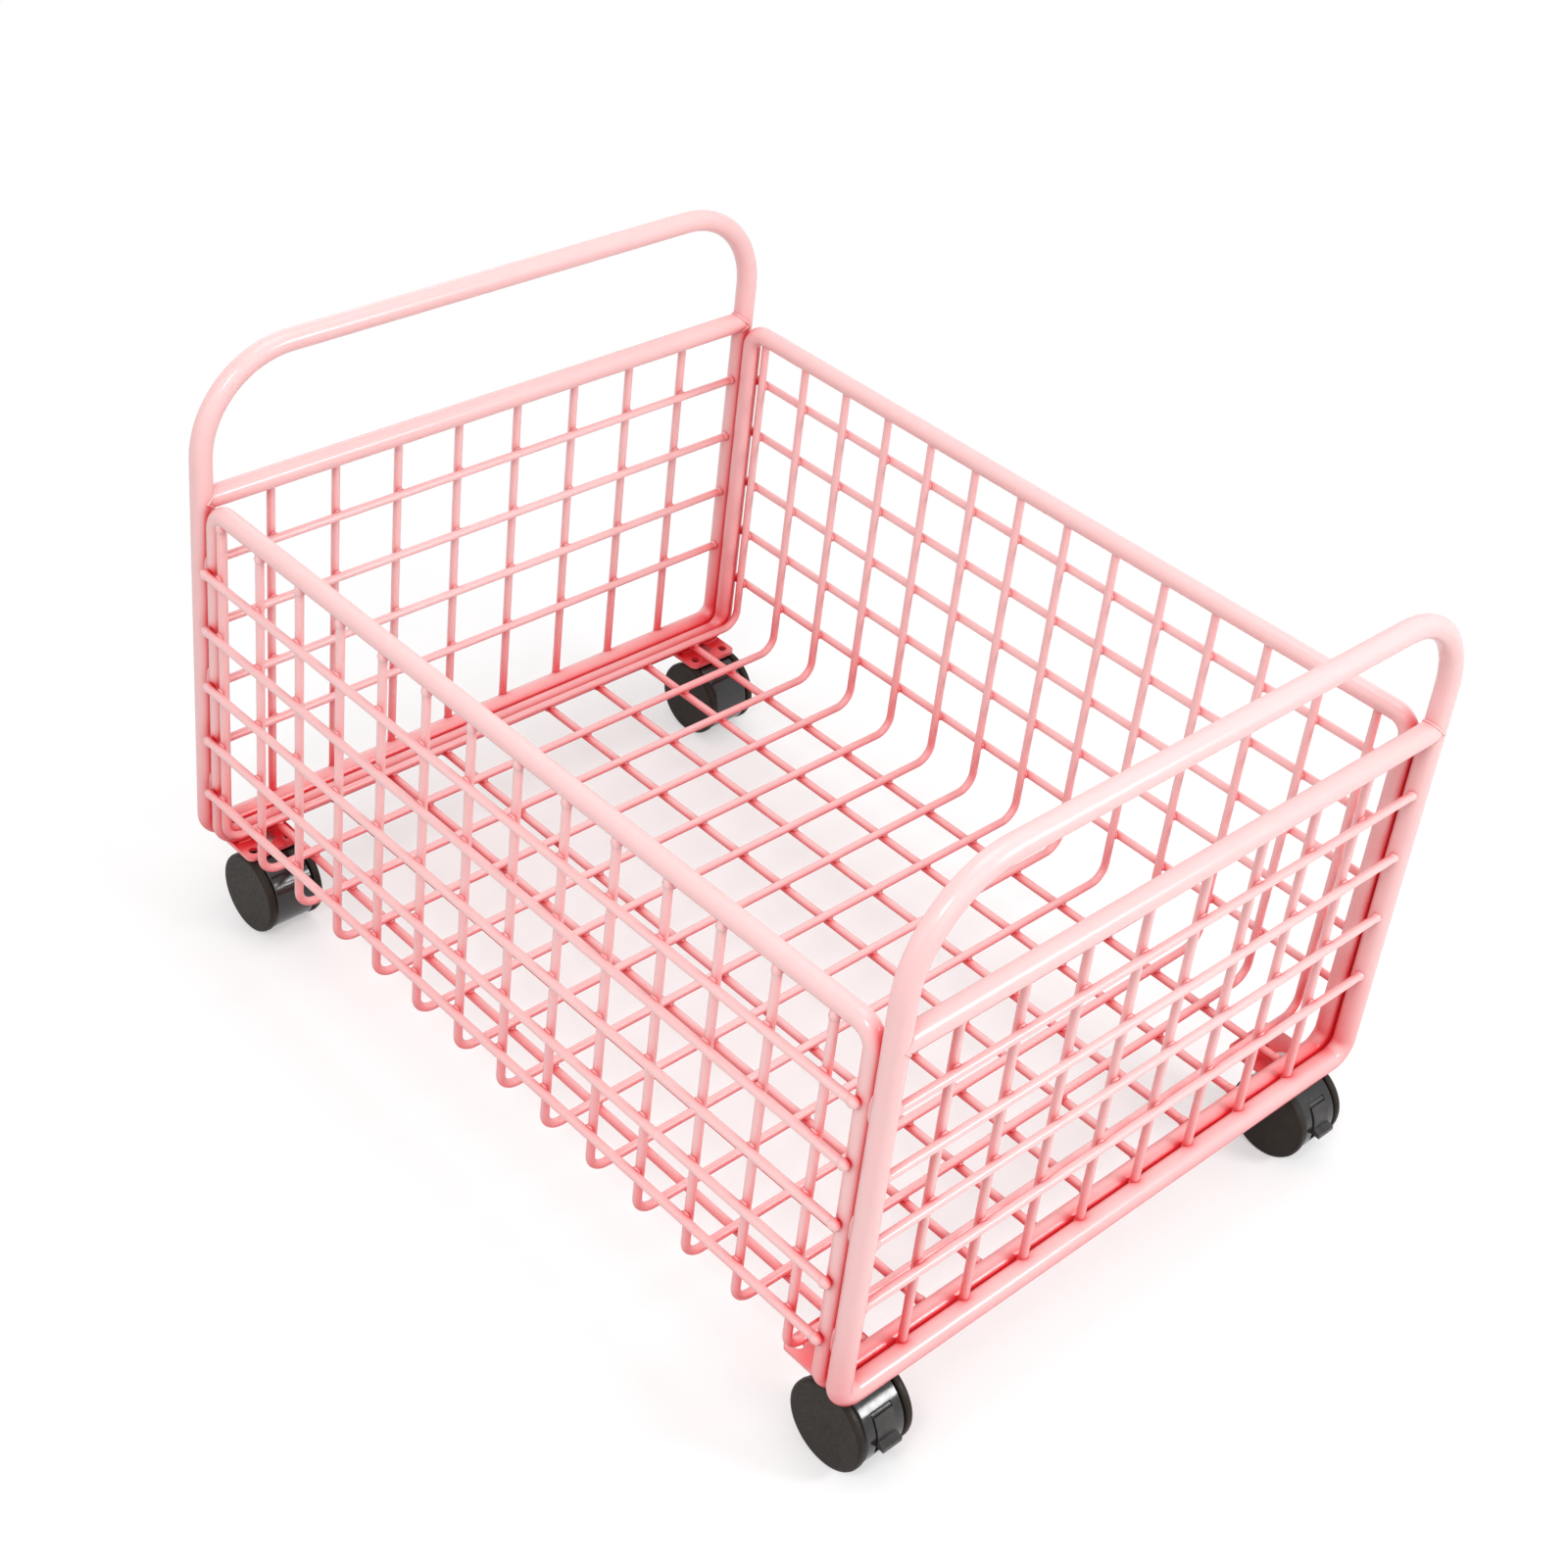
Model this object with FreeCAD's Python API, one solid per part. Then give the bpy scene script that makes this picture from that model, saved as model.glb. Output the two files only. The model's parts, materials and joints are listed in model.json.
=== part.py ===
import FreeCAD, Part
import os
from math import cos, degrees, radians, sin, tan

os.makedirs("parts", exist_ok=True)
V = FreeCAD.Vector

# Stock sizes of tube, rod and wire
tube_d = 9.0
rod_d = 8.0
wire_d = 3.5
weld_gap = 0.05

# End frames: bent tube hoops with a crossbar and a wire grille
frame_spacing = 378.0
post_spacing = 281.0
crossbar_z = 201.0
handle_rise = 57.7
handle_bend_r = 40.0
foot_bend_r = 8.0
frame_upright_count = 8
frame_upright_inset = 33.05
frame_row_count = 4
frame_row_pitch = 29.4
frame_first_row_drop = 28.4
grille_inset = 0.9

# Basket: one bent rod ring, cross wires bent to a U, and long wires outside them
ring_inset_y = 1.0
rail_drop = 0.8
ring_bend_r = 8.0
floor_rise = 3.9
cross_wire_count = 14
cross_wire_far_gap = 6.6
cross_wire_near_gap = 16.0
cross_wire_bend_r = 8.0
cross_wire_top_drop = 2.5
wall_wire_count = 5
wall_wire_first_drop = 26.7
wall_wire_pitch = 26.6
floor_wire_count = 9
floor_wire_inset = 24.5
wall_wire_overrun = 0.5

# Caster plates welded under the hoops and the ring
plate_length = 27.5
plate_reach = 18.5
plate_width = 26.0
plate_thick = 1.8
plate_corner_r = 3.0
plate_hole_d = 4.0
plate_hole_inset = 4.5
plate_slot_length = 9.0
plate_slot_width = 4.0
plate_slot_inset = 7.0
plate_clear = 0.35

# Casters: hooded twin wheels that trail behind a vertical kingpin
wheel_d = 35.0
wheel_rim_width = 3.3
wheel_rim_round = 1.2
wheel_groove = 0.6
wheel_drum_d = 28.8
wheel_cap_wall = 1.4
caster_width = 26.0
kingpin_inset_x = 14.0
kingpin_inset_y = 18.0
trail = 6.5
hood_d = 34.0
hood_edge = 0.8
hood_web = 12.6
hood_ground_clear = 3.0
running_gap = 0.3
bore_gap = 0.05
seat_gap = 0.01
boss_d = 12.6
boss_root_d = 17.0
boss_root_z = 12.0
kingpin_d = 5.0
kingpin_head_d = 8.0
kingpin_head_h = 1.4
kingpin_depth = 14.8
axle_d = 4.0

# Brake levers on the two near casters
lever_width = 9.0
lever_pivot_depth = 2.25
lever_pivot_angle = 40.6
lever_pin_d = 2.0
lever_boss_d = 4.4
lever_proud = 0.6
lever_thick = 2.6
lever_top_angle = 38.0
lever_low_angle = -2.0
lever_tip_angle = 7.0
lever_tip_reach = 2.8
lever_tip_thick = 1.8
lever_recess_depth = 5.7
lever_recess_drop = 4.0

# Values that follow from the sizes above
tube_r = tube_d / 2
rod_r = rod_d / 2
wire_r = wire_d / 2
wire_step = wire_d + weld_gap
frame_x = frame_spacing / 2
post_y = post_spacing / 2
handle_z = crossbar_z + handle_rise
frame_upright_pitch = 2 * (post_y - frame_upright_inset) / (frame_upright_count - 1)
floor_wire_pitch = 2 * (post_y - floor_wire_inset) / (floor_wire_count - 1)
ring_x = frame_x - tube_r - rod_r - weld_gap
ring_y = post_y - ring_inset_y
rail_z = crossbar_z - rail_drop
cross_wire_y = ring_y + rod_r - wire_r
long_wire_y = cross_wire_y + wire_step
wall_wire_end = ring_x + wall_wire_overrun
wheel_r = wheel_d / 2
hood_r = hood_d / 2
plate_bottom = wheel_r + max(wheel_r, hood_r) + plate_clear
plate_top = plate_bottom + plate_thick
frame_bottom_z = plate_top + weld_gap + tube_r
ring_floor_z = plate_top + weld_gap + rod_r
floor_wire_z = ring_floor_z + floor_rise
long_wire_z = floor_wire_z - wire_step
rim_outer_y = caster_width / 2
rim_inner_y = rim_outer_y - wheel_rim_width
hood_half = rim_inner_y - running_gap
web_half = hood_web / 2
drum_inner_y = web_half + running_gap
kingpin_x = frame_x - kingpin_inset_x
kingpin_y = post_y - kingpin_inset_y
boss_top = plate_bottom - running_gap - wheel_r
lever_outer_r = hood_r + lever_proud
lever_inner_r = lever_outer_r - lever_thick
lever_pivot_x = (hood_r - lever_pivot_depth) * cos(radians(lever_pivot_angle))
lever_pivot_z = (hood_r - lever_pivot_depth) * sin(radians(lever_pivot_angle))
lever_recess_x = hood_r - lever_recess_depth
lever_half = lever_width / 2
recess_half = lever_half + running_gap
near_reach = kingpin_x + trail + lever_outer_r + lever_tip_reach
middle_x = (near_reach - frame_x - tube_r) / 2


def save(name, shape):
    """Move a piece so the origin is under the middle of the whole outline, and write it."""
    shape.translate(V(-middle_x, 0, 0))
    shape.exportStep("parts/" + name + ".step")


def corner(before, at, after, bend):
    """Tangent points, centre, axis and angle of one rounded corner of a path."""
    into = (at - before).normalize()
    out = (after - at).normalize()
    angle = into.getAngle(out)
    setback = bend * tan(angle / 2)
    axis = into.cross(out).normalize()
    start = at - into * setback
    end = at + out * setback
    centre = start + axis.cross(into) * bend
    return start, end, into, centre, axis, degrees(angle)


def bent_bar(points, radius, bends, closed=False):
    """Round bar along a path of straight runs with rounded corners."""
    count = len(points)
    pieces = []
    ends = {}
    for i in range(count):
        ends[i] = (points[i], points[i])
        if closed or 0 < i < count - 1:
            start, end, into, centre, axis, angle = corner(
                points[i - 1], points[i], points[(i + 1) % count], bends[i])
            section = Part.Face(Part.Wire(Part.makeCircle(radius, start, into)))
            pieces.append(section.revolve(centre, axis, angle))
            ends[i] = (start, end)
    for i in range(count if closed else count - 1):
        run = ends[(i + 1) % count][0] - ends[i][1]
        pieces.append(Part.makeCylinder(radius, run.Length, ends[i][1], run))
    return pieces[0].multiFuse(pieces[1:]).removeSplitter().Solids[0]


def cylinder_y(radius, y0, y1, x=0.0, z=0.0):
    """Cylinder along Y between two stations."""
    return Part.makeCylinder(radius, y1 - y0, V(x, y0, z), V(0, 1, 0))


def end_frame(side, x):
    """Hoop, crossbar and grille of one end of the cart."""
    hoop = bent_bar(
        [V(x, -post_y, frame_bottom_z), V(x, -post_y, handle_z),
         V(x, post_y, handle_z), V(x, post_y, frame_bottom_z)],
        tube_r, [foot_bend_r, handle_bend_r, handle_bend_r, foot_bend_r], closed=True)
    save(side + "_hoop", hoop)

    rise = crossbar_z - frame_bottom_z
    envelope = tube_r + weld_gap
    posts = [Part.makeCylinder(envelope, rise + tube_d, V(x, y, frame_bottom_z), V(0, 0, 1))
             for y in (-post_y, post_y)]
    bars = [cylinder_y(envelope, -post_y, post_y, x, z) for z in (frame_bottom_z, crossbar_z)]

    crossbar = cylinder_y(tube_r, -post_y, post_y, x, crossbar_z).cut(posts)
    save(side + "_crossbar", crossbar)

    upright_x = x - grille_inset - wire_step / 2
    uprights = []
    for i in range(frame_upright_count):
        y = (i - (frame_upright_count - 1) / 2) * frame_upright_pitch
        wire = Part.makeCylinder(wire_r, rise, V(upright_x, y, frame_bottom_z), V(0, 0, 1))
        uprights.append(wire.cut(bars))
    save(side + "_upright_wires", Part.makeCompound(uprights))

    rows = []
    for i in range(frame_row_count):
        z = crossbar_z - frame_first_row_drop - i * frame_row_pitch
        rows.append(cylinder_y(wire_r, -post_y, post_y, upright_x + wire_step, z).cut(posts))
    save(side + "_row_wires", Part.makeCompound(rows))


def ring_bar(radius):
    """Rod ring: both rails, turned down at the ends and across under the basket."""
    points = []
    for x, y_signs in ((-ring_x, (1, -1)), (ring_x, (-1, 1))):
        first, second = y_signs
        points.append(V(x, first * ring_y, rail_z))
        points.append(V(x, first * ring_y, ring_floor_z))
        points.append(V(x, second * ring_y, ring_floor_z))
        points.append(V(x, second * ring_y, rail_z))
    return bent_bar(points, radius, [ring_bend_r] * len(points), closed=True)


def basket():
    """Ring, U-shaped cross wires, and the long wires of both walls and the floor."""
    save("basket_ring", ring_bar(rod_r))

    ring_envelope = ring_bar(rod_r + weld_gap)
    first_x = -ring_x + cross_wire_far_gap
    pitch = (2 * ring_x - cross_wire_far_gap - cross_wire_near_gap) / (cross_wire_count - 1)
    top_z = rail_z - cross_wire_top_drop
    for i in range(cross_wire_count):
        x = first_x + i * pitch
        wire = bent_bar(
            [V(x, -cross_wire_y, top_z), V(x, -cross_wire_y, floor_wire_z),
             V(x, cross_wire_y, floor_wire_z), V(x, cross_wire_y, top_z)],
            wire_r, [cross_wire_bend_r] * 4)
        save("cross_wire_%02d" % (i + 1), wire.cut(ring_envelope))

    for side, sign in (("left", -1), ("right", 1)):
        wires = []
        for i in range(wall_wire_count):
            z = rail_z - wall_wire_first_drop - i * wall_wire_pitch
            start = V(-wall_wire_end, sign * long_wire_y, z)
            wires.append(Part.makeCylinder(wire_r, 2 * wall_wire_end, start, V(1, 0, 0)))
        save(side + "_wall_wires", Part.makeCompound(wires))

    wires = []
    for i in range(floor_wire_count):
        y = (i - (floor_wire_count - 1) / 2) * floor_wire_pitch
        wire = Part.makeCylinder(wire_r, 2 * ring_x, V(-ring_x, y, long_wire_z), V(1, 0, 0))
        wires.append(wire.cut(ring_envelope))
    save("floor_wires", Part.makeCompound(wires))


def slot(length, width, x, z, height):
    """Upright obround along X, for cutting a slot."""
    half = (length - width) / 2
    ends = [Part.makeCylinder(width / 2, height, V(x + s * half, 0, z)) for s in (-1, 1)]
    return Part.makeBox(2 * half, width, height, V(x - half, -width / 2, z)).fuse(ends)


def kingpin(gap):
    """Kingpin with its countersunk head; the gap widens it into the seat's cutter."""
    r = kingpin_d / 2 + gap
    low = boss_top + wheel_r - kingpin_depth
    shank = Part.makeCylinder(r, plate_top - low, V(0, 0, low))
    head = Part.makeCone(r, kingpin_head_d / 2 + gap, kingpin_head_h, V(0, 0, plate_top - kingpin_head_h))
    return shank.fuse(head).removeSplitter()


def caster_plate():
    """Flat plate about the kingpin's axis, with a slot and spare fixing holes."""
    plate = Part.makeBox(plate_length, plate_width, plate_thick)
    uprights = [e for e in plate.Edges if abs(e.tangentAt(e.FirstParameter).z) > 0.9]
    plate = plate.makeFillet(plate_corner_r, uprights)
    x0 = -plate_reach
    y0 = -plate_width / 2
    plate.translate(V(x0, y0, plate_bottom))
    cutters = [slot(plate_slot_length, plate_slot_width, x0 + plate_slot_inset, plate_bottom, plate_thick)]
    for x in (x0 + plate_hole_inset, x0 + plate_length - plate_hole_inset):
        for y in (y0 + plate_hole_inset, y0 + plate_width - plate_hole_inset):
            cutters.append(Part.makeCylinder(plate_hole_d / 2, plate_thick, V(x, y, plate_bottom)))
    return plate.cut(cutters + [kingpin(seat_gap)])


def turned(points):
    """Solid of revolution about Y from radius and station pairs."""
    corners = [V(r, y, 0) for r, y in points]
    outline = Part.makePolygon(corners + [corners[0]])
    return Part.Face(outline).revolve(V(0, 0, 0), V(0, 1, 0), 360)


def wheel():
    """Wheel of the +Y side: a rounded rim and closed cap with a drum inside the hood."""
    bore_r = axle_d / 2 + bore_gap
    drum_r = wheel_drum_d / 2
    knee = wheel_rim_round * (1 - cos(radians(45)))
    return turned([
        (0, rim_outer_y), (wheel_r - wheel_rim_round, rim_outer_y),
        (wheel_r - knee, rim_outer_y - knee), (wheel_r, rim_outer_y - wheel_rim_round),
        (wheel_r, rim_inner_y + wheel_groove), (wheel_r - wheel_groove, rim_inner_y),
        (drum_r, rim_inner_y), (drum_r, drum_inner_y), (bore_r, drum_inner_y),
        (bore_r, rim_outer_y - wheel_cap_wall), (0, rim_outer_y - wheel_cap_wall)])


def polar(radius, angle):
    """Point of the lever's profile at a radius and angle about the axle."""
    return V(radius * cos(radians(angle)), -lever_half, radius * sin(radians(angle)))


def lever():
    """Brake lever: a curved paddle with an out-turned tip on a round pivot boss."""
    mid = (lever_top_angle + lever_tip_angle) / 2
    low_mid = (lever_top_angle + lever_low_angle) / 2
    tip_r = lever_outer_r + lever_tip_reach
    tip_drop = degrees(lever_tip_thick / tip_r)
    outer = Part.Arc(polar(lever_outer_r, lever_top_angle), polar(lever_outer_r, mid),
                     polar(lever_outer_r, lever_tip_angle)).toShape()
    inner = Part.Arc(polar(lever_inner_r, lever_low_angle), polar(lever_inner_r, low_mid),
                     polar(lever_inner_r, lever_top_angle)).toShape()
    tip = Part.makePolygon([
        polar(lever_outer_r, lever_tip_angle), polar(tip_r, lever_low_angle + tip_drop),
        polar(tip_r, lever_low_angle), polar(lever_inner_r, lever_low_angle)])
    top = Part.makeLine(polar(lever_inner_r, lever_top_angle), polar(lever_outer_r, lever_top_angle))
    outline = Part.Wire(Part.__sortEdges__([outer] + tip.Edges + [inner, top]))
    paddle = Part.Face(outline).extrude(V(0, lever_width, 0))
    boss = cylinder_y(lever_boss_d / 2, -lever_half, lever_half, lever_pivot_x, lever_pivot_z)
    bore = cylinder_y(lever_pin_d / 2 + bore_gap, -lever_half, lever_half, lever_pivot_x, lever_pivot_z)
    return paddle.fuse(boss).removeSplitter().cut(bore)


def lever_pin(gap):
    """Pin the lever turns on, held in the hood's two cheeks."""
    half = web_half - weld_gap
    return cylinder_y(lever_pin_d / 2 + gap, -half, half, lever_pivot_x, lever_pivot_z)


def lever_recess():
    """Space cut in the hood's front for the lever's whole travel."""
    boss_r = lever_boss_d / 2 + running_gap
    high = lever_pivot_z + boss_r
    width = 2 * recess_half
    front = Part.makeBox(hood_d, width, lever_pivot_z + lever_recess_drop,
                         V(lever_recess_x, -recess_half, -lever_recess_drop))
    brow = Part.makeBox(hood_d, width, high - lever_pivot_z, V(lever_pivot_x, -recess_half, lever_pivot_z))
    pocket = cylinder_y(boss_r, -recess_half, recess_half, lever_pivot_x, lever_pivot_z)
    return front.fuse([brow, pocket])


def hood(braked):
    """Moulded hood: a barrel over both drums, a web between them and a swivel boss."""
    barrel = turned([
        (0, -hood_half), (hood_r - hood_edge, -hood_half), (hood_r, -hood_half + hood_edge),
        (hood_r, hood_half - hood_edge), (hood_r - hood_edge, hood_half), (0, hood_half)])
    boss = Part.makeCone(boss_root_d / 2, boss_d / 2, boss_top - boss_root_z, V(-trail, 0, boss_root_z))
    pocket_r = wheel_drum_d / 2 + running_gap
    ground = V(-hood_d, -hood_d, hood_ground_clear - wheel_r - hood_d)
    cutters = [
        cylinder_y(pocket_r, web_half, hood_half),
        cylinder_y(pocket_r, -hood_half, -web_half),
        cylinder_y(axle_d / 2 + seat_gap, -web_half, web_half),
        Part.makeBox(2 * hood_d, 2 * hood_d, hood_d, ground),
        Part.makeCylinder(kingpin_d / 2 + bore_gap, kingpin_depth + running_gap,
                          V(-trail, 0, boss_top - kingpin_depth - running_gap))]
    if braked:
        cutters.append(lever_recess())
        cutters.append(lever_pin(seat_gap))
    return barrel.fuse(boss).removeSplitter().cut(cutters)


def caster(name, sx, sy, braked):
    """One caster and its plate, trailing towards +X."""
    pivot = V(sx * kingpin_x, sy * kingpin_y, 0)
    axle_place = pivot + V(trail, 0, wheel_r)
    axle_half = rim_outer_y - wheel_cap_wall - running_gap
    wheel_right = wheel()
    pieces = {
        "_hood": hood(braked),
        "_axle": cylinder_y(axle_d / 2, -axle_half, axle_half),
        "_wheel_left": wheel_right.mirror(V(0, 0, 0), V(0, 1, 0)),
        "_wheel_right": wheel_right}
    if braked:
        pieces["_lever"] = lever()
        pieces["_lever_pin"] = lever_pin(0.0)
    for ending, shape in pieces.items():
        shape.translate(axle_place)
        save(name + ending, shape)
    plate = caster_plate()
    plate.translate(pivot)
    save(name + "_plate", plate)


end_frame("far", -frame_x)
end_frame("near", frame_x)
basket()
kingpins = []
for end, sx in (("far", -1), ("near", 1)):
    for side, sy in (("left", -1), ("right", 1)):
        caster(end + "_" + side, sx, sy, braked=sx > 0)
        pin = kingpin(0.0)
        pin.translate(V(sx * kingpin_x, sy * kingpin_y, 0))
        kingpins.append(pin)
save("kingpins", Part.makeCompound(kingpins))
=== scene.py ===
import json
import bpy
from math import radians, sqrt
from mathutils import Matrix, Vector


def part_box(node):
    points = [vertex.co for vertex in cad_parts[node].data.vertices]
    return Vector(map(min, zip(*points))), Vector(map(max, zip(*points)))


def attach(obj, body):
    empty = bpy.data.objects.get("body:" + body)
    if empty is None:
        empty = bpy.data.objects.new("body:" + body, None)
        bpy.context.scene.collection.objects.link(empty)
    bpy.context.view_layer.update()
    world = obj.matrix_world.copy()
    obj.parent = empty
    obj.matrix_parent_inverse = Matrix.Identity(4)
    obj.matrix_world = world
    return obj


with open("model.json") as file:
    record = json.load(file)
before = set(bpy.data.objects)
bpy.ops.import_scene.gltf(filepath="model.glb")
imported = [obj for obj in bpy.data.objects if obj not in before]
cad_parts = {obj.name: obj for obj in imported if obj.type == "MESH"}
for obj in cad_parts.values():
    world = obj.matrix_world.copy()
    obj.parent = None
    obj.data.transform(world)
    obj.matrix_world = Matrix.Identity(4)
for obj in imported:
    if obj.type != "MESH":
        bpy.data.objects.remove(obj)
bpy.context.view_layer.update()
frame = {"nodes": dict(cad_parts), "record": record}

nodes = frame["nodes"]


# Materials

def new_material(name):
    """Empty node material with its shader and the object's own coordinates."""
    material = bpy.data.materials.new(name)
    material.use_nodes = True
    tree = material.node_tree
    shader = tree.nodes["Principled BSDF"]
    coords = tree.nodes.new("ShaderNodeTexCoord")
    return material, tree, shader, coords.outputs["Object"]


def noise(tree, coords, scale, detail=2.0, roughness=0.5):
    """Noise over the object's own coordinates."""
    node = tree.nodes.new("ShaderNodeTexNoise")
    node.inputs["Scale"].default_value = scale
    node.inputs["Detail"].default_value = detail
    node.inputs["Roughness"].default_value = roughness
    tree.links.new(coords, node.inputs["Vector"])
    return node.outputs["Fac"]


def ramp(tree, factor, stops):
    """Colour ramp through the given stops of position and colour."""
    node = tree.nodes.new("ShaderNodeValToRGB")
    elements = node.color_ramp.elements
    while len(elements) < len(stops):
        elements.new(0.5)
    for element, (position, colour) in zip(elements, stops):
        element.position = position
        element.color = (*colour, 1.0)
    tree.links.new(factor, node.inputs["Fac"])
    return node.outputs["Color"]


def remap(tree, value, from_low, from_high, to_low, to_high):
    """Value carried over from one range to another."""
    node = tree.nodes.new("ShaderNodeMapRange")
    node.inputs["From Min"].default_value = from_low
    node.inputs["From Max"].default_value = from_high
    node.inputs["To Min"].default_value = to_low
    node.inputs["To Max"].default_value = to_high
    tree.links.new(value, node.inputs["Value"])
    return node.outputs["Result"]


def spread(tree, factor, low, high):
    """Noise spread between two values."""
    return remap(tree, factor, from_low=0.3, from_high=0.7, to_low=low, to_high=high)


def combine(tree, operation, first, second):
    """Outcome of a sum on two values."""
    node = tree.nodes.new("ShaderNodeMath")
    node.operation = operation
    tree.links.new(first, node.inputs[0])
    tree.links.new(second, node.inputs[1])
    return node.outputs["Value"]


def bump(tree, shader, height, strength, distance):
    """Fine relief on the shader's normal."""
    node = tree.nodes.new("ShaderNodeBump")
    node.inputs["Strength"].default_value = strength
    node.inputs["Distance"].default_value = distance
    tree.links.new(height, node.inputs["Height"])
    tree.links.new(node.outputs["Normal"], shader.inputs["Normal"])


def pink_powder_coat():
    """Pale pink powder coat with painted shade, deep red in corners and low down from ambient
    occlusion and height, with a fine orange peel.
    """
    material, tree, shader, coords = new_material("pink_powder_coat")
    # painted shade: ambient occlusion darkens the colour in corners and between parts
    corner_shade_ao = tree.nodes.new("ShaderNodeAmbientOcclusion")
    corner_shade_ao.samples = 8
    corner_shade_ao.inputs["Distance"].default_value = 0.12
    place = tree.nodes.new("ShaderNodeSeparateXYZ")
    tree.links.new(coords, place.inputs["Vector"])
    # painted shade: the colour gets darker and redder towards the bottom of the cart
    painted_low_shade = remap(tree, place.outputs["Z"],
                    from_low=0.03, from_high=0.12, to_low=-0.10, to_high=0.06)
    cloud = spread(tree, noise(tree, coords, scale=24.0, detail=3.0), low=-0.03, high=0.03)
    painted_shade_level = combine(tree, "ADD", corner_shade_ao.outputs["AO"], painted_low_shade)
    shade_and_mottle = combine(tree, "ADD", painted_shade_level, cloud)
    # painted shade: the ramp runs from deep red where shade is painted to pale pink in the open,
    # with a little random mottling on top
    coat_with_painted_shade = ramp(tree, shade_and_mottle, [
        (0.30, (0.77, 0.03, 0.04)),
        (0.55, (0.86, 0.25, 0.26)),
        (0.75, (0.88, 0.45, 0.45)),
        (0.95, (0.89, 0.565, 0.56)),
    ])
    tree.links.new(coat_with_painted_shade, shader.inputs["Base Color"])
    sheen = spread(tree, noise(tree, coords, scale=160.0), low=0.20, high=0.27)
    tree.links.new(sheen, shader.inputs["Roughness"])
    peel = noise(tree, coords, scale=500.0, detail=1.0)
    bump(tree, shader, peel, strength=0.03, distance=0.0004)
    shader.inputs["Subsurface Weight"].default_value = 0.25
    shader.inputs["Subsurface Radius"].default_value = (1.0, 0.2, 0.2)
    shader.inputs["Subsurface Scale"].default_value = 0.003
    return material


def glossy_black_plastic():
    """Polished black moulding of the hoods, with faint swirls."""
    material, tree, shader, coords = new_material("glossy_black_plastic")
    cloud = noise(tree, coords, scale=60.0, detail=3.0)
    colour = ramp(tree, cloud, [(0.3, (0.006, 0.006, 0.007)), (0.7, (0.014, 0.013, 0.013))])
    tree.links.new(colour, shader.inputs["Base Color"])
    sheen = spread(tree, noise(tree, coords, scale=400.0, detail=3.0), low=0.12, high=0.22)
    tree.links.new(sheen, shader.inputs["Roughness"])
    grain = noise(tree, coords, scale=500.0, detail=2.0)
    bump(tree, shader, grain, strength=0.04, distance=0.0003)
    shader.inputs["IOR"].default_value = 1.58
    return material


def satin_lever_plastic():
    """Satin black moulding of the brake levers, rubbed lighter by shoes."""
    material, tree, shader, coords = new_material("satin_lever_plastic")
    cloud = noise(tree, coords, scale=180.0, detail=4.0, roughness=0.65)
    colour = ramp(tree, cloud, [(0.35, (0.012, 0.012, 0.012)), (0.75, (0.045, 0.042, 0.040))])
    tree.links.new(colour, shader.inputs["Base Color"])
    sheen = spread(tree, noise(tree, coords, scale=500.0, detail=3.0), low=0.28, high=0.42)
    tree.links.new(sheen, shader.inputs["Roughness"])
    grain = noise(tree, coords, scale=900.0, detail=2.0)
    bump(tree, shader, grain, strength=0.08, distance=0.0003)
    return material


def dark_wheel_plastic():
    """Matte brown-black wheel plastic with scuffs."""
    material, tree, shader, coords = new_material("dark_wheel_plastic")
    cloud = noise(tree, coords, scale=90.0, detail=4.0, roughness=0.6)
    colour = ramp(tree, cloud, [(0.3, (0.010, 0.0065, 0.004)), (0.7, (0.021, 0.014, 0.009))])
    tree.links.new(colour, shader.inputs["Base Color"])
    sheen = spread(tree, noise(tree, coords, scale=700.0, detail=3.0), low=0.40, high=0.56)
    tree.links.new(sheen, shader.inputs["Roughness"])
    grain = noise(tree, coords, scale=1500.0, detail=2.0)
    bump(tree, shader, grain, strength=0.10, distance=0.0003)
    shader.inputs["Specular IOR Level"].default_value = 0.22
    return material


def plated_steel():
    """Zinc-plated steel of the pins."""
    material, tree, shader, coords = new_material("plated_steel")
    cloud = noise(tree, coords, scale=300.0, detail=3.0)
    colour = ramp(tree, cloud, [(0.3, (0.55, 0.55, 0.56)), (0.7, (0.66, 0.66, 0.67))])
    tree.links.new(colour, shader.inputs["Base Color"])
    sheen = spread(tree, noise(tree, coords, scale=900.0, detail=2.0), low=0.28, high=0.42)
    tree.links.new(sheen, shader.inputs["Roughness"])
    shader.inputs["Metallic"].default_value = 1.0
    return material


finishes = {
    "paint": pink_powder_coat(),
    "hood": glossy_black_plastic(),
    "lever": satin_lever_plastic(),
    "wheel": dark_wheel_plastic(),
    "steel": plated_steel(),
}
for subpart in frame["record"]["subparts"]:
    node = nodes[subpart["node"]]
    node.data.materials.clear()
    node.data.materials.append(finishes[subpart["material_slot"]])


# How many wires the welds join, and the radius of the ring's rod in metres

cross_wires = 14
wires_per_wall = 5
wires_in_floor = 9
uprights_per_frame = 8
rows_per_frame = 4
rod_r = 0.004

# Sizes of the welds in metres: a spot's radius and half thickness, a collar's radius and
# half length, and how far in from the wires' ends the collars sit

spot = 0.0020
spot_half = 0.0011
collar = 0.0022
collar_half = 0.0030
rail_collar_drop = 0.0015
basket_wire_inset = 0.0012
frame_wire_inset = 0.0006

plate_bead_radii = (0.0013, 0.0045, 0.0009)
plate_bead_back = 0.0026
plate_bead_inset = 0.006
plate_bead_lift = 0.0004

joint_bead_r = 0.0006
joint_bead_spare = 0.0015
seam_merge = 0.00001
seam_cut = 0.000001

groove_bead_radii = (0.0013, 0.0010, 0.0060)
groove_bead_out = 0.0012
groove_beads = 3
groove_first_z = 0.068
groove_pitch = 0.052


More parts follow.
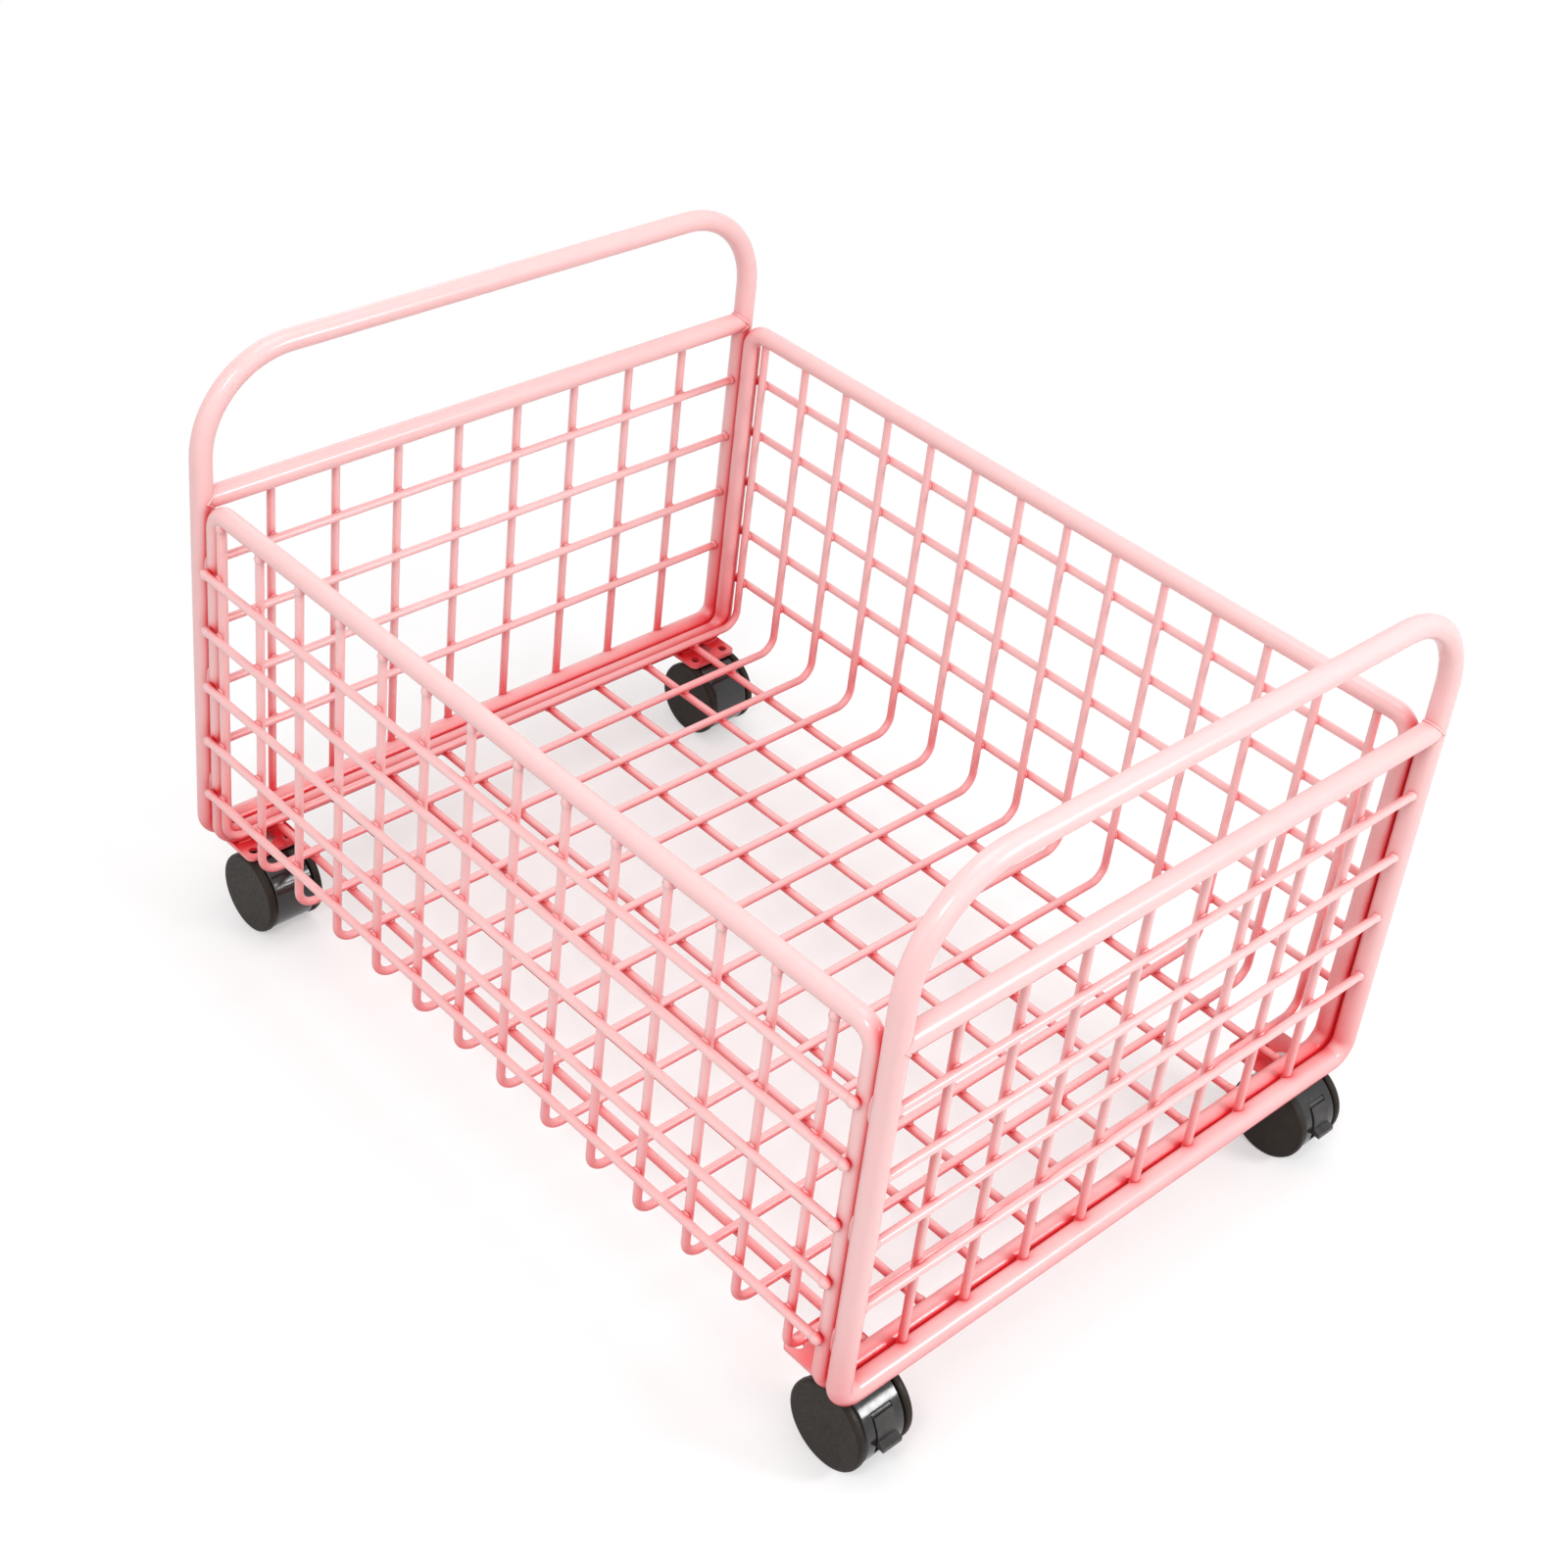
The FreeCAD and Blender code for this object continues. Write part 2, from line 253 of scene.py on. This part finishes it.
# Welds: spots where wires cross, collars where wires end on a bar, and beads on the
# caster plates, round the crossbars' ends and in the grooves beside the posts

def middle(name, axis):
    """Middle of a node along one axis."""
    low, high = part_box(name)
    return (low[axis] + high[axis]) / 2


def rows(name, axis, count):
    """First place and pitch of equal wires that a node holds side by side along an axis."""
    low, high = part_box(name)
    return low[axis] + wire_r, (high[axis] - low[axis] - 2 * wire_r) / (count - 1)


def finish_weld(weld, name):
    """Smooth a weld, give it the paint and fix it to the cart."""
    bpy.ops.object.select_all(action="DESELECT")
    weld.select_set(True)
    bpy.context.view_layer.objects.active = weld
    bpy.ops.object.transform_apply(location=True, rotation=True, scale=True)
    bpy.ops.object.shade_smooth()
    weld.name = name
    weld.data.name = name
    weld.data.materials.append(finishes["paint"])
    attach(weld, "cart")


def repeat(weld, count, step):
    """Row of copies at an equal step, as one mesh."""
    bpy.context.view_layer.objects.active = weld
    array = weld.modifiers.new("row", "ARRAY")
    array.count = count
    array.use_relative_offset = False
    array.use_constant_offset = True
    array.constant_offset_displace = step
    bpy.ops.object.modifier_apply(modifier="row")


def weld_drop(place, radii, segments=8, rings=6):
    """Drop of weld metal, drawn out to the given radii."""
    bpy.ops.object.select_all(action="DESELECT")
    bpy.ops.mesh.primitive_uv_sphere_add(segments=segments, ring_count=rings,
                                         radius=1.0, location=place)
    bpy.ops.object.mode_set(mode="EDIT")
    bpy.ops.mesh.select_all(action="SELECT")
    bpy.ops.transform.resize(value=radii)
    bpy.ops.object.mode_set(mode="OBJECT")
    return bpy.context.object


def weld_field(name, place, radii, first, second):
    """Drops of weld in a field of rows and columns, each a count and a step."""
    drop = weld_drop(place, radii)
    repeat(drop, *first)
    repeat(drop, *second)
    finish_weld(drop, name)


def joint_bead(place, sign):
    """Weld bead round the end of a crossbar, along the line where the bar meets its post."""
    bpy.ops.object.select_all(action="DESELECT")
    bpy.ops.mesh.primitive_torus_add(major_segments=40, minor_segments=8,
                                     major_radius=tube_r, minor_radius=joint_bead_r)
    bead = bpy.context.object
    bpy.ops.object.mode_set(mode="EDIT")
    bpy.ops.mesh.select_all(action="SELECT")
    # a little more than half is kept, and the mirror trims it at the seam
    bpy.ops.mesh.bisect(plane_co=(0, -joint_bead_spare, 0), plane_no=(0, 1, 0), clear_inner=True)
    bpy.ops.mesh.select_all(action="SELECT")
    bpy.ops.transform.resize(value=(1.0, sqrt(2.0), 1.0), center_override=(0.0, 0.0, 0.0))
    bpy.ops.object.mode_set(mode="OBJECT")
    bead.rotation_euler = (radians(45.0), 0.0, 0.0)
    bpy.ops.object.transform_apply(location=True, rotation=True, scale=True)
    mirror = bead.modifiers.new("lower_half", "MIRROR")
    mirror.use_axis = (False, False, True)
    mirror.use_bisect_axis = (False, False, True)
    mirror.merge_threshold = seam_merge
    mirror.bisect_threshold = seam_cut
    bpy.ops.object.modifier_apply(modifier="lower_half")
    bead.scale = (1.0, -sign, 1.0)
    bead.location = place
    bpy.ops.object.transform_apply(location=True, rotation=True, scale=True)
    bpy.ops.object.mode_set(mode="EDIT")
    bpy.ops.mesh.select_all(action="SELECT")
    bpy.ops.mesh.normals_make_consistent(inside=False)
    bpy.ops.object.mode_set(mode="OBJECT")
    return bead


wire_low, wire_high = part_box("left_wall_wires")
wire_r = (wire_high[1] - wire_low[1]) / 2
bar_low, bar_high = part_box("near_crossbar")
tube_r = (bar_high[0] - bar_low[0]) / 2
ring_low, ring_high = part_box("basket_ring")
cross_low, cross_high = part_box("cross_wire_01")

first_x = middle("cross_wire_01", 0)
pitch_x = (middle("cross_wire_%02d" % cross_wires, 0) - first_x) / (cross_wires - 1)
along = (cross_wires, (pitch_x, 0.0, 0.0))
once = (1, (0.0, 0.0, 0.0))

# basket walls
for side, edge, sign in (("left", cross_low[1], -1), ("right", cross_high[1], 1)):
    first_z, pitch_z = rows(side + "_wall_wires", 2, wires_per_wall)
    up = (wires_per_wall, (0.0, 0.0, pitch_z))
    weld_field(side + "_wall_spots", (first_x, edge, first_z), (spot, spot_half, spot), along, up)
    weld_field(side + "_rail_collars",
               (first_x, edge - sign * wire_r, cross_high[2] - rail_collar_drop),
               (collar, collar, collar_half), along, once)
    wall_low, wall_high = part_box(side + "_wall_wires")
    both_ends = (2, (wall_high[0] - wall_low[0] - 2 * basket_wire_inset, 0.0, 0.0))
    weld_field(side + "_wall_collars",
               (wall_low[0] + basket_wire_inset, middle(side + "_wall_wires", 1), first_z),
               (collar_half, collar, collar), up, both_ends)

# basket floor
first_y, pitch_y = rows("floor_wires", 1, wires_in_floor)
across = (wires_in_floor, (0.0, pitch_y, 0.0))
weld_field("floor_spots", (first_x, first_y, cross_low[2]), (spot, spot, spot_half), along, across)
floor_low, floor_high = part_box("floor_wires")
both_ends = (2, (floor_high[0] - floor_low[0] - 2 * basket_wire_inset, 0.0, 0.0))
weld_field("floor_collars",
           (floor_low[0] + basket_wire_inset, first_y, middle("floor_wires", 2)),
           (collar_half, collar, collar), across, both_ends)

# end frames' grilles
for end in ("far", "near"):
    upright_x = middle(end + "_upright_wires", 0)
    row_x = middle(end + "_row_wires", 0)
    upright_low, upright_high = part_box(end + "_upright_wires")
    row_low, row_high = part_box(end + "_row_wires")
    first_y, pitch_y = rows(end + "_upright_wires", 1, uprights_per_frame)
    first_z, pitch_z = rows(end + "_row_wires", 2, rows_per_frame)
    across = (uprights_per_frame, (0.0, pitch_y, 0.0))
    up = (rows_per_frame, (0.0, 0.0, pitch_z))
    weld_field(end + "_grille_spots", ((upright_x + row_x) / 2, first_y, first_z),
               (spot_half, spot, spot), across, up)
    top_and_foot = (2, (0.0, 0.0, upright_high[2] - upright_low[2] - 2 * frame_wire_inset))
    weld_field(end + "_upright_collars", (upright_x, first_y, upright_low[2] + frame_wire_inset),
               (collar, collar, collar_half), across, top_and_foot)
    both_ends = (2, (0.0, row_high[1] - row_low[1] - 2 * frame_wire_inset, 0.0))
    weld_field(end + "_row_collars", (row_x, row_low[1] + frame_wire_inset, first_z),
               (collar, collar_half, collar), up, both_ends)

# caster plates, under the ring's end bars
for end, sign in (("far", -1), ("near", 1)):
    bar_x = (ring_high[0] if sign > 0 else ring_low[0]) - sign * rod_r
    for side in ("left", "right"):
        plate_low, plate_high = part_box("%s_%s_plate" % (end, side))
        place = (bar_x - sign * plate_bead_back, plate_low[1] + plate_bead_inset,
                 plate_high[2] + plate_bead_lift)
        both_sides = (2, (0.0, plate_high[1] - plate_low[1] - 2 * plate_bead_inset, 0.0))
        weld_field("%s_%s_plate_beads" % (end, side), place, plate_bead_radii, both_sides, once)

# posts, where the crossbars end and along the ring
for end, x_sign in (("far", -1), ("near", 1)):
    hoop_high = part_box(end + "_hoop")[1]
    bar_x = middle(end + "_crossbar", 0)
    bar_z = middle(end + "_crossbar", 2)
    ring_edge = ring_high[0] if x_sign > 0 else ring_low[0]
    for side, sign in (("left", -1), ("right", 1)):
        post_y = sign * (hoop_high[1] - tube_r)
        bead = joint_bead((bar_x, post_y, bar_z), sign)
        finish_weld(bead, "%s_%s_joint_bead" % (end, side))
        place = (ring_edge, post_y + sign * groove_bead_out, groove_first_z)
        bead = weld_drop(place, groove_bead_radii, segments=10, rings=8)
        repeat(bead, groove_beads, (0.0, 0.0, groove_pitch))
        finish_weld(bead, "%s_%s_groove_beads" % (end, side))


# Floor, light and camera

def seen_directly(tree):
    """One for a ray from the camera, in a reflection or through glass, otherwise nought."""
    path = tree.nodes.new("ShaderNodeLightPath").outputs
    seen = combine(tree, "MAXIMUM", path["Is Camera Ray"], path["Is Glossy Ray"])
    return combine(tree, "MAXIMUM", seen, path["Is Transmission Ray"])


def studio_floor():
    """Pale floor that shows the shadow and runs out to plain white."""
    bpy.ops.object.select_all(action="DESELECT")
    bpy.ops.mesh.primitive_plane_add(size=12.0)
    floor = bpy.context.object
    floor.name = "studio_floor"
    material, tree, shader, coords = new_material("pale_floor")
    cloud = noise(tree, coords, scale=3.0)
    pale = ramp(tree, cloud, [(0.3, (0.96, 0.96, 0.96)), (0.7, (0.98, 0.98, 0.98))])
    dim = ramp(tree, cloud, [(0.3, (0.54, 0.53, 0.53)), (0.7, (0.56, 0.55, 0.55))])
    seen = seen_directly(tree)
    colour = tree.nodes.new("ShaderNodeMix")
    colour.data_type = "RGBA"
    tree.links.new(seen, colour.inputs["Factor"])
    tree.links.new(dim, colour.inputs["A"])
    tree.links.new(pale, colour.inputs["B"])
    tree.links.new(colour.outputs["Result"], shader.inputs["Base Color"])
    shader.inputs["Roughness"].default_value = 0.9
    shader.inputs["Specular IOR Level"].default_value = 0.0
    length = tree.nodes.new("ShaderNodeVectorMath")
    length.operation = "LENGTH"
    tree.links.new(coords, length.inputs[0])
    away = remap(tree, length.outputs["Value"],
                 from_low=0.22, from_high=0.50, to_low=0.4, to_high=1.0)
    share = combine(tree, "MULTIPLY", away, seen)
    white = tree.nodes.new("ShaderNodeEmission")
    mix = tree.nodes.new("ShaderNodeMixShader")
    tree.links.new(share, mix.inputs["Fac"])
    tree.links.new(shader.outputs["BSDF"], mix.inputs[1])
    tree.links.new(white.outputs["Emission"], mix.inputs[2])
    tree.links.new(mix.outputs["Shader"], tree.nodes["Material Output"].inputs["Surface"])
    floor.data.materials.append(material)


def softbox(name, place, aim, size, power):
    """Square area lamp that faces a point."""
    lamp = bpy.data.lights.new(name, "AREA")
    lamp.size = size
    lamp.energy = power
    holder = bpy.data.objects.new(name, lamp)
    holder.location = place
    holder.rotation_euler = (Vector(aim) - Vector(place)).to_track_quat("-Z", "Y").to_euler()
    bpy.context.scene.collection.objects.link(holder)


def white_world():
    """Even light from all round, seen as plain white by the camera and in reflections."""
    world = bpy.data.worlds.new("white_world")
    world.use_nodes = True
    bpy.context.scene.world = world
    tree = world.node_tree
    background = tree.nodes["Background"]
    background.inputs["Color"].default_value = (1.0, 1.0, 1.0, 1.0)
    strength = remap(tree, seen_directly(tree),
                     from_low=0.0, from_high=1.0, to_low=0.55, to_high=1.0)
    tree.links.new(strength, background.inputs["Strength"])


def photo_camera():
    """Camera at the photograph's place, with its focal length and framing."""
    data = bpy.data.cameras.new("photo_camera")
    data.sensor_width = 36.0
    data.lens = 60.328
    data.shift_x = -0.005
    data.shift_y = -0.11
    data.clip_start = 0.01
    camera = bpy.data.objects.new("photo_camera", data)
    place = (0.55476, -0.60710, 0.73615)
    right = Vector((0.680604, 0.725346, 0.103204))
    down = Vector((0.458335, -0.311634, -0.832354))
    ahead = Vector((-0.571583, 0.613805, -0.544551))
    turn = Matrix((right, -down, -ahead)).transposed().to_4x4()
    camera.matrix_world = Matrix.Translation(place) @ turn
    bpy.context.scene.collection.objects.link(camera)
    bpy.context.scene.camera = camera


studio_floor()
basket_middle = (0.0, 0.0, 0.12)
softbox("top_light", place=(-0.1, 0.1, 1.7), aim=(0.0, 0.0, 0.1), size=0.9, power=7.0)
softbox("left_light", place=(-0.2, -1.7, 1.1), aim=basket_middle, size=1.2, power=5.2)
softbox("right_light", place=(1.6, -0.5, 0.9), aim=basket_middle, size=1.2, power=4.2)
softbox("far_light", place=(-1.6, 0.4, 0.9), aim=basket_middle, size=1.2, power=4.0)
softbox("front_light", place=(0.45, -0.85, 1.05), aim=basket_middle, size=0.3, power=4.6)
softbox("back_light", place=(0.95, 0.50, 0.65), aim=(0.18, -0.12, 0.03), size=0.3, power=5.5)
white_world()
photo_camera()
bpy.context.scene.view_settings.view_transform = "Standard"
